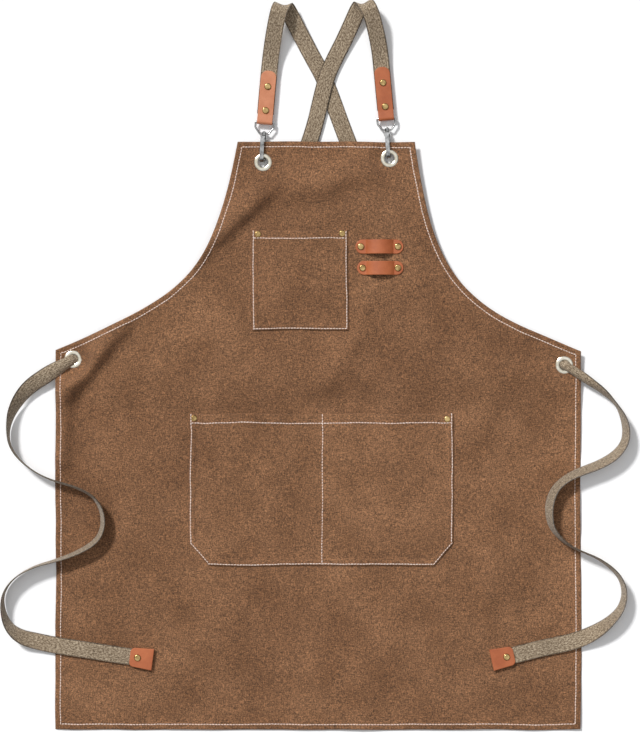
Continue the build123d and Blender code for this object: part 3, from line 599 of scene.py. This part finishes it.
# ---- canvas: the front panel and its pockets ----
EDGE_STEPS = (0, 0.4, 1.0, 2.2, 4.2, 5.8, 6.4, 6.9, 7.4, 8.0, 8.6, 9.4, 12.0, 16.0)
FLAT_SPOTS = [*BIB_EYELETS.values(), *WAIST_EYELETS.values()]
HELD_SPOTS = FLAT_SPOTS + CHEST_RIVETS + WAIST_RIVETS + LOOP_RIVETS
FLAT_BOXES = [CHEST_POCKET, WAIST_POCKET, TOOL_LOOPS]
ROUND_EYELET, ROUND_BOX = 13, 1  # the cloth is flat this near to an eyelet's middle and to a box
TIES_FROM, UNDER_TIE = 180, 11   # the ties lie this far out, and the cloth is flat this near to their middles
CALM_REACH = 16                  # it is rumpled in full this much further off
MEAN_RISE, UNEVENNESS = 1.8, 3.0  # how far the free cloth stands off, and how much that varies
SWAY = 1.5                       # how far an edge or a seam strays from its line
TURN_SOFTENS = 2.5               # the turned part of an edge ends over this far to each side of its width
ROLL_WIDTH, ROLL_DEPTH = 1.4, CLOTH / 2
PULL_WIDTH, PULL_DEPTH, PUCKER = 0.6, 0.4, 0.22   # what the stitches do to the cloth
HOLE_SLACK = 0.8                 # cells reach this far into a hole before their points move to its edge
ARMHOLE_STEPS = 24
PANEL_COLUMNS, PANEL_STEP, POCKET_STEP = 128, 4.4, 4.0
FOLDS = [                        # crest from, crest to, its height, and how far it reaches to each side
    ((-250, 524), (-324, 436), 14.0, 20, 9),
    ((-325, 446), (-333, 300), 8.5, 14, 9),
    ((-64, 696), (-126, 640), 10.5, 22, 10),
    ((-122, 644), (-170, 600), 7.0, 18, 11),
    ((-40, 690), (72, 726), 7.0, 26, 14),
    ((66, 722), (104, 664), 5.0, 22, 13),
    ((54, 514), (2, 436), 4.0, 20, 14),
    ((226, 310), (222, 30), 2.4, 14, 11),
    ((176, 560), (236, 500), 3.6, 15, 13),
    ((-226, 340), (-262, 170), 2.6, 22, 18),
    ((255, 470), (200, 370), 3.0, 22, 16),
    ((-120, 160), (-40, 60), 2.2, 24, 20),
    ((120, 180), (60, 40), 2.0, 26, 20),
]


def bezier(curve, t):
    """A point on a cubic curve."""
    a, b, c, d = (Vector(point) for point in curve)
    s = 1 - t
    return a * s**3 + b * (3 * s * s * t) + c * (3 * s * t * t) + d * t**3


def armhole_x(curve, y):
    """Where an armhole's curve crosses a height, found by halving."""
    low, high = 0.0, 1.0
    for _ in range(24):
        middle = (low + high) / 2
        if bezier(curve, middle).y > y:
            low = middle
        else:
            high = middle
    return bezier(curve, low).x


def panel_left(y):
    return -HALF_WIDTH if y <= ARMHOLE_LEFT[-1][1] else armhole_x(ARMHOLE_LEFT, y)


def panel_right(y):
    return HALF_WIDTH if y <= ARMHOLE_RIGHT[-1][1] else armhole_x(ARMHOLE_RIGHT, y)


def panel_outline():
    """The apron's cut as a chain of points."""
    left, right = ([tuple(bezier(curve, i / ARMHOLE_STEPS)) for i in range(ARMHOLE_STEPS + 1)]
                   for curve in (ARMHOLE_LEFT, ARMHOLE_RIGHT))
    return left + [(-HALF_WIDTH, 0.0), (HALF_WIDTH, 0.0)] + right[::-1] + [left[0]]


def inside_by(chain):
    """A function that gives a point's distance from the nearest side of a chain of points."""
    sides = [(ax, ay, bx - ax, by - ay, (bx - ax) ** 2 + (by - ay) ** 2)
             for (ax, ay), (bx, by) in zip(chain, chain[1:]) if (ax, ay) != (bx, by)]

    def distance(x, y):
        nearest = 1e9
        for ax, ay, dx, dy, square in sides:
            px, py = x - ax, y - ay
            share = min(max((px * dx + py * dy) / square, 0.0), 1.0)
            nearest = min(nearest, (px - share * dx) ** 2 + (py - share * dy) ** 2)
        return math.sqrt(nearest)
    return distance


def flat_box(node):
    """The space that a CAD node takes up on the cloth, as low x, low y, high x and high y."""
    low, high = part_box(node)
    return low.x / MM, (low.y - HEM_Y) / MM, high.x / MM, (high.y - HEM_Y) / MM


FLAT_BOXES += [flat_box(f"{side}_tip") for side in OTHER]
tie_lines = {side: inside_by([WAIST_EYELETS[side]] + TIE_ROUTES[side] + TIE_ENDS[side]) for side in OTHER}


def held(x, y):
    """0 where an eyelet or a rivet holds the cloth, 1 where it is free."""
    return smoothstep(6, 18, min(math.hypot(x - spot_x, y - spot_y) for spot_x, spot_y in HELD_SPOTS))


def swayed(x, y, z):
    """A point of the cloth, moved a little aside, because nothing is cut or sewn quite straight."""
    drift = SWAY * held(x, y)
    aside = drift * ripple(x, y, 64, 64, 12.3)
    ahead = drift * ripple(x, y, 64, 64, 27.9)
    return at(x + aside, y + ahead, z)


def box_distance(box, x, y):
    """How far a point is outside a box."""
    return math.hypot(max(box[0] - x, 0, x - box[2]), max(box[1] - y, 0, y - box[3]))


def fold_height(fold, x, y):
    """A long soft ridge, steeper towards the low right, that fades at both ends."""
    (ax, ay), (bx, by), height, reach_high, reach_low = fold
    dx, dy = bx - ax, by - ay
    length = math.hypot(dx, dy)
    along = ((x - ax) * dx + (y - ay) * dy) / length
    if not -0.35 * length < along < 1.35 * length:
        return 0.0
    across = ((x - ax) * dy - (y - ay) * dx) / length
    if dx + dy < 0:
        across = -across
    reach = reach_high if across < 0 else reach_low
    begins = smoothstep(-0.3 * length, 0.25 * length, along)
    ends = smoothstep(0.75 * length, 1.3 * length, along)
    return height * (begins * (1 - ends)) * math.exp(-(across / reach) ** 2)


def rumple(x, y):
    """How far the cloth stands off what it lies on: folds, and broad soft unevenness."""
    calm = min(math.hypot(x - spot_x, y - spot_y) - ROUND_EYELET for spot_x, spot_y in FLAT_SPOTS)
    calm = min(calm, min(box_distance(box, x, y) - ROUND_BOX for box in FLAT_BOXES))
    if abs(x) > TIES_FROM:
        calm = min(calm, tie_lines["left" if x < 0 else "right"](x, y) - UNDER_TIE)
    free = smoothstep(0, CALM_REACH, calm)
    if free == 0:
        return 0.0
    broad = ripple(x, y, 95, 120, 3.1) + 0.45 * ripple(x, y, 38, 46, 8.7)
    uneven = max(MEAN_RISE + UNEVENNESS * broad, 0.0)
    return free * (uneven + sum(fold_height(fold, x, y) for fold in FOLDS))


def panel_low(x, y):
    """The height of the panel's back."""
    return BIB_LIFT * smoothstep(RAMP_START, RAMP_END, y) + rumple(x, y)


def edge_form(inside, x, y, width, rise, stitch):
    """What a turned and stitched edge adds to the cloth's low and high faces at a distance inside it.

    The turned part ends softly, the very edge is rolled, the stitches pull the cloth in and it puckers.
    """
    turned = rise * (1 - smoothstep(width - TURN_SOFTENS, width + TURN_SOFTENS, inside))
    rolled = 1 - smoothstep(0, ROLL_WIDTH, inside)
    pulled = PULL_DEPTH * math.exp(-((inside - stitch) / PULL_WIDTH) ** 2)
    pucker = PUCKER * ripple(x, y, 5, 5, 1.7) * (1 - smoothstep(width, 2.2 * width, inside))
    return ROLL_DEPTH * rolled, turned - (ROLL_DEPTH + rise * 0.6) * rolled - pulled + pucker


from_outline = inside_by(panel_outline())


def panel_faces(x, y):
    """The z of the panel's low and high faces."""
    low = panel_low(x, y)
    add_low, add_high = edge_form(from_outline(x, y), x, y, HEM_WIDTH, HEM_RISE, HEM_STITCH)
    return low + add_low, low + CLOTH + add_high


def spread(low, high, step):
    """Places from low to high, close together near both ends."""
    margin = EDGE_STEPS[-1]
    count = max(int((high - low - 2 * margin) / step), 1)
    middle = [low + margin + (high - low - 2 * margin) * i / count for i in range(1, count)]
    return [low + e for e in EDGE_STEPS] + middle + [high - e for e in reversed(EDGE_STEPS)]


def cloth(name, rows, left, right, columns, faces_at, bend_y, holes=()):
    """A sheet of cloth with both faces and its edges, on a grid that follows its two sides.

    Its sides are upright below bend_y, and slant above it, where the steps inside them are stretched to
    stay as wide across the slant. The stretch starts blend below bend_y, and most is its limit.
    """
    blend, most = 30, 2.6
    grid = []
    for y in rows:
        ends = []
        for side_x in (left, right):
            probe = min(max(y, bend_y + 1), rows[-1] - 1) if y > bend_y - blend else y
            slope = side_x(probe + 0.5) - side_x(probe - 0.5)
            slant = min(math.hypot(1, slope), most)
            ends.append((side_x(y), 1 + (slant - 1) * smoothstep(bend_y - blend, bend_y, y)))
        (low_x, low_stretch), (high_x, high_stretch) = ends
        first = [low_x + e * low_stretch for e in EDGE_STEPS]
        last = [high_x - e * high_stretch for e in reversed(EDGE_STEPS)]
        inner = [first[-1] + (last[0] - first[-1]) * i / columns for i in range(1, columns)]
        grid.append([[x, y] for x in first + inner + last])
    wide, tall = len(grid[0]), len(grid)

    def kept(j, i):
        """Whether a cell is outside the holes."""
        middle_x = (grid[j][i][0] + grid[j + 1][i + 1][0]) / 2
        middle_y = (grid[j][i][1] + grid[j + 1][i + 1][1]) / 2
        return all(math.hypot(middle_x - x, middle_y - y) > radius - HOLE_SLACK for x, y, radius in holes)

    cells = {(j, i) for j in range(tall - 1) for i in range(wide - 1) if kept(j, i)}
    for j in range(tall):
        for i in range(wide):
            around = [(j - b, i - a) for b in (0, 1) for a in (0, 1)]
            inner = 0 < j < tall - 1 and 0 < i < wide - 1
            if inner and any(cell not in cells for cell in around):
                here_x, here_y = grid[j][i]
                x, y, radius = min(holes, key=lambda hole: math.hypot(here_x - hole[0], here_y - hole[1]))
                away = Vector((here_x - x, here_y - y)).normalized() * radius
                grid[j][i] = [x + away.x, y + away.y]
    vertices = []
    for row in grid:
        for x, y in row:
            low, high = faces_at(x, y)
            vertices += [swayed(x, y, low), swayed(x, y, high)]
    faces = []
    for j, i in sorted(cells):
        a, b = 2 * (j * wide + i), 2 * (j * wide + i + 1)
        d, c = a + 2 * wide, b + 2 * wide
        faces += [(a + 1, b + 1, c + 1, d + 1), (a, d, c, b)]
        for p, q, beside in ((a, b, (j - 1, i)), (b, c, (j, i + 1)), (c, d, (j + 1, i)), (d, a, (j, i - 1))):
            if beside not in cells:
                faces.append((p, q, q + 1, p + 1))
    piece = mesh_object(name, vertices, faces, CANVAS)
    drop_loose(piece.data)
    return piece


def drop_loose(mesh):
    """Take out the points that no face uses, and turn every face outward."""
    shape = bmesh.new()
    shape.from_mesh(mesh)
    bmesh.ops.delete(shape, geom=[v for v in shape.verts if not v.link_faces], context="VERTS")
    bmesh.ops.recalc_face_normals(shape, faces=shape.faces)
    shape.to_mesh(mesh)
    shape.free()


def front_panel():
    rows = sorted(set(spread(0, BIB_TOP, PANEL_STEP) + [ARMHOLE_LEFT[-1][1], ARMHOLE_RIGHT[-1][1]]))
    holes = [(x, y, EYELET_HOLE) for x, y in FLAT_SPOTS]
    piece = cloth("canvas_panel", rows, panel_left, panel_right, PANEL_COLUMNS, panel_faces,
                  SIDES_BEND_Y, holes)
    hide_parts("front_panel")


class Pocket:
    """A patch pocket: its outline, and the heights of its two faces over the panel."""

    EDGE_WIDTH, EDGE_RISE = 7.5, 1.5
    MOUTH_TURN, MOUTH_RISE = 2, 0.6      # the mouth's hem ends this far below its stitches
    GROOVE_WIDTH, GROOVE_DEPTH = 0.7, 0.4
    GAP = 0.05                   # between the pocket and the panel where it is sewn
    MOUTH_AWAY = 20              # keeps the sewn edge's form off the open mouth

    def __init__(self, box, cut, divider, mouth_hem, fullness):
        self.box, self.cut, self.divider = box, cut, divider
        self.mouth_hem, self.fullness = mouth_hem, fullness
        self.distance = inside_by(self.line(0) + [self.line(0)[0]])

    def line(self, inset):
        """The pocket's edge from the left end of its mouth round to the right end."""
        low_x, low_y, high_x, high_y = self.box
        cut_x, cut_y = self.cut
        if not cut_x:
            return [(low_x + inset, high_y), (low_x + inset, low_y + inset),
                    (high_x - inset, low_y + inset), (high_x - inset, high_y)]
        slant = math.atan2(cut_y, cut_x)
        slip_x = inset * (1 - math.cos(slant)) / math.sin(slant)
        slip_y = inset * (1 - math.sin(slant)) / math.cos(slant)
        return [(low_x + inset, high_y), (low_x + inset, low_y + cut_y + slip_y),
                (low_x + cut_x + slip_x, low_y + inset), (high_x - cut_x - slip_x, low_y + inset),
                (high_x - inset, low_y + cut_y + slip_y), (high_x - inset, high_y)]

    def left(self, y):
        low_x, low_y = self.box[:2]
        cut_x, cut_y = self.cut
        return low_x + (cut_x * max(1 - (y - low_y) / cut_y, 0) if cut_x else 0)

    def right(self, y):
        return self.box[0] + self.box[2] - self.left(y)

    def stand(self, x, y):
        """How far the pocket stands off the panel: open at the mouth, held down where it is sewn."""
        low_x, low_y, high_x, high_y = self.box
        margin = 4
        bays = [(low_x, high_x)] if self.divider is None else [(low_x, self.divider), (self.divider, high_x)]
        for bay_low, bay_high in bays:
            if bay_low <= x <= bay_high:
                share = (x - bay_low - margin) / (bay_high - bay_low - 2 * margin)
                arch = math.sin(math.pi * min(max(share, 0), 1)) ** 0.7
                opening = 0.35 + 0.65 * smoothstep(low_y + 30, high_y, y)
                rise = smoothstep(low_y + 3, low_y + 40, y) * opening
                uneven = 1 + 0.5 * ripple(x, y, 42, 50, 5.5)
                return self.fullness * arch * rise * uneven * held(x, y)
        return 0.0

    def faces(self, x, y):
        """The z of the pocket's low and high faces."""
        low = panel_low(x, y) + CLOTH + self.GAP + self.stand(x, y)
        mouth = self.box[3] - y
        sewn = min(x - self.left(y), self.right(y) - x, y - self.box[1])
        sewn = min(sewn, self.distance(x, y) + self.MOUTH_AWAY * (mouth < sewn))
        add_low, add_high = edge_form(sewn, x, y, self.EDGE_WIDTH, self.EDGE_RISE, POCKET_STITCH)
        hem_low, hem_high = edge_form(mouth, x, y, self.mouth_hem + self.MOUTH_TURN, self.MOUTH_RISE,
                                      self.mouth_hem)
        groove = 0
        if self.divider is not None:
            groove = self.GROOVE_DEPTH * math.exp(-((x - self.divider) / self.GROOVE_WIDTH) ** 2)
        high = low + CLOTH + min(add_high, 0) + min(hem_high, 0) + max(add_high, hem_high, 0) - groove
        return low + max(add_low, hem_low), high

    def make(self, name, area=None):
        low_x, low_y, high_x, high_y = self.box
        hem_y = high_y - self.mouth_hem
        rows = spread(low_y, high_y, POCKET_STEP)
        rows = sorted(set(rows + [low_y + self.cut[1], hem_y, hem_y - self.MOUTH_TURN]))
        columns = int((high_x - low_x) / 4.2)
        piece = cloth(f"{name}_cloth", rows, self.left, self.right, columns, self.faces, high_y + 40)
        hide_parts(name)


# ---- thread: one short stitch after another ----
STITCH_PITCH, STITCH_LENGTH = 3.8, 3.5
THREAD_RADIUS, THREAD_SIDES = 0.7, 6
WANDER, STRAY, SKEW = 0.5, 0.1, 0.12     # how uneven the line of stitches is, and each stitch in it
STITCH_FORM = [                  # place along the stitch, girth, and height over the cloth
    (-1, 0.6, -0.25), (-0.6, 0.92, 0.1), (0, 1.0, 0.22), (0.6, 0.92, 0.1), (1, 0.6, -0.25),
]


def resample(chain, pitch):
    """Evenly spaced (point, direction) pairs along a chain of points."""
    places, carried = [], pitch / 2
    for start, end in zip(chain, chain[1:]):
        run = Vector(end) - Vector(start)
        if run.length == 0:
            continue
        way = run.normalized()
        while carried <= run.length:
            places.append((Vector(start) + way * carried, way))
            carried += pitch
        carried -= run.length
    return places


def seam(name, chains, faces_at, seed):
    """Stitches along chains of points, lying on a cloth's high face."""
    shake = random.Random(seed)
    around, rings = THREAD_SIDES, len(STITCH_FORM)
    vertices, faces = [], []
    for chain in chains:
        for spot, way in resample(chain, STITCH_PITCH):
            beside = Vector((-way.y, way.x))
            wander = WANDER * ripple(spot.x, spot.y, 21, 21, seed)
            middle = spot + beside * (wander + shake.uniform(-STRAY, STRAY))
            skew = beside * shake.uniform(-SKEW, SKEW)
            level = faces_at(middle.x, middle.y)[1]
            first = len(vertices)
            for share, girth, lift in STITCH_FORM:
                ring_at = middle + (way + skew) * share * STITCH_LENGTH / 2
                for k in range(around):
                    angle = 2 * math.pi * k / around
                    out = beside * math.cos(angle) * THREAD_RADIUS * girth
                    up = level + lift + math.sin(angle) * THREAD_RADIUS * girth
                    vertices.append(swayed(ring_at.x + out.x, ring_at.y + out.y, up))
            for r in range(rings - 1):
                for k in range(around):
                    a, b = first + r * around + k, first + r * around + (k + 1) % around
                    faces.append((a, b, b + around, a + around))
            faces.append(tuple(first + k for k in reversed(range(around))))
            faces.append(tuple(first + (rings - 1) * around + k for k in range(around)))
    mesh_object(name, vertices, faces, THREAD)


def hem_line(inset):
    """The apron's outline drawn in by an inset."""
    steps = 61
    sides = []
    for curve, sign in ((ARMHOLE_LEFT, -1), (ARMHOLE_RIGHT, 1)):
        chain = []
        for i in range(steps):
            spot, ahead = bezier(curve, i / steps), bezier(curve, (i + 1) / steps)
            way = (ahead - spot).normalized()
            inward = Vector((way.y, -way.x)) * sign
            spot = spot + inward * inset
            if spot.y < BIB_TOP - inset and abs(spot.x) < HALF_WIDTH - inset:
                chain.append(tuple(spot))
        half = sign * (HALF_WIDTH - inset)
        chain = [(chain[0][0], BIB_TOP - inset)] + chain + [(half, chain[-1][1]), (half, inset)]
        sides.append(chain)
    left, right = sides
    return left + right[::-1] + [left[0]]


front_panel()
pockets = {
    "chest_pocket": Pocket(CHEST_POCKET, (0, 0), None, 10.0, 2.6),
    "waist_pocket": Pocket(WAIST_POCKET, WAIST_CUT, DIVIDER_X, 12.0, 3.4),
}
seam("hem_stitches", [hem_line(HEM_STITCH)], panel_faces, 1)
for seed, (name, pocket) in enumerate(pockets.items(), 2):
    pocket.make(name, area=WAIST_POCKET_AREA if pocket.divider else None)
    low_x, low_y, high_x, high_y = pocket.box
    mouth_y = high_y - pocket.mouth_hem
    chains = [pocket.line(POCKET_STITCH),
              [(low_x + POCKET_STITCH, mouth_y), (high_x - POCKET_STITCH, mouth_y)]]
    if pocket.divider is not None:
        chains.append([(pocket.divider, high_y), (pocket.divider, low_y + POCKET_STITCH)])
    seam(f"{name}_stitches", chains, pocket.faces, seed)


# ---- leather: the CAD shapes with softened edges ----
LEATHER_VOXEL = 0.00045
METAL_EDGE = 0.0004


def leather(node, name, material):
    """A leather piece made from its CAD node, its corners softened."""
    mesh = frame["nodes"][node].data.copy()
    source = bpy.data.objects.new(name, mesh)
    bpy.context.scene.collection.objects.link(source)
    voxels = source.modifiers.new("voxels", "REMESH")
    voxels.mode, voxels.voxel_size = "VOXEL", LEATHER_VOXEL
    smooth = source.modifiers.new("smooth", "SMOOTH")
    smooth.factor, smooth.iterations = 0.5, 5
    shaped = bpy.data.meshes.new_from_object(source.evaluated_get(bpy.context.evaluated_depsgraph_get()))
    bpy.data.objects.remove(source)
    faces = [tuple(polygon.vertices) for polygon in shaped.polygons]
    piece = mesh_object(name, [vertex.co.copy() for vertex in shaped.vertices], faces, material)
    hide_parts(node)


for side in ("left", "right"):
    leather(f"{side}_tab", f"{side}_leather_tab", TAN_LEATHER if side == "left" else RUST_LEATHER)
    leather(f"{side}_tip", f"{side}_leather_tip", RUST_LEATHER)
for place in ("upper", "lower"):
    leather(f"{place}_tool_loop", f"{place}_leather_loop", RUST_LEATHER)


# ---- metal: the CAD nodes, with materials and small rounded edges ----
def soften(node):
    """Small rounded edges on a polished metal piece."""
    bevel = node.modifiers.new("soft_edges", "BEVEL")
    bevel.width, bevel.segments = METAL_EDGE, 3
    bevel.limit_method, bevel.angle_limit = "ANGLE", math.radians(50)
    bevel.use_clamp_overlap = True


METALS = (("rivet", BRASS), ("eyelet", EYELET), ("washer", EYELET), ("spring", SPRING),
          ("hook", NICKEL), ("ring", NICKEL), ("gate", NICKEL))
for name, node in frame["nodes"].items():
    for word, material in METALS:
        if word in name and not node.hide_render:
            node.data.materials.clear()
            node.data.materials.append(material)
            if word in ("hook", "gate"):
                soften(node)
            break
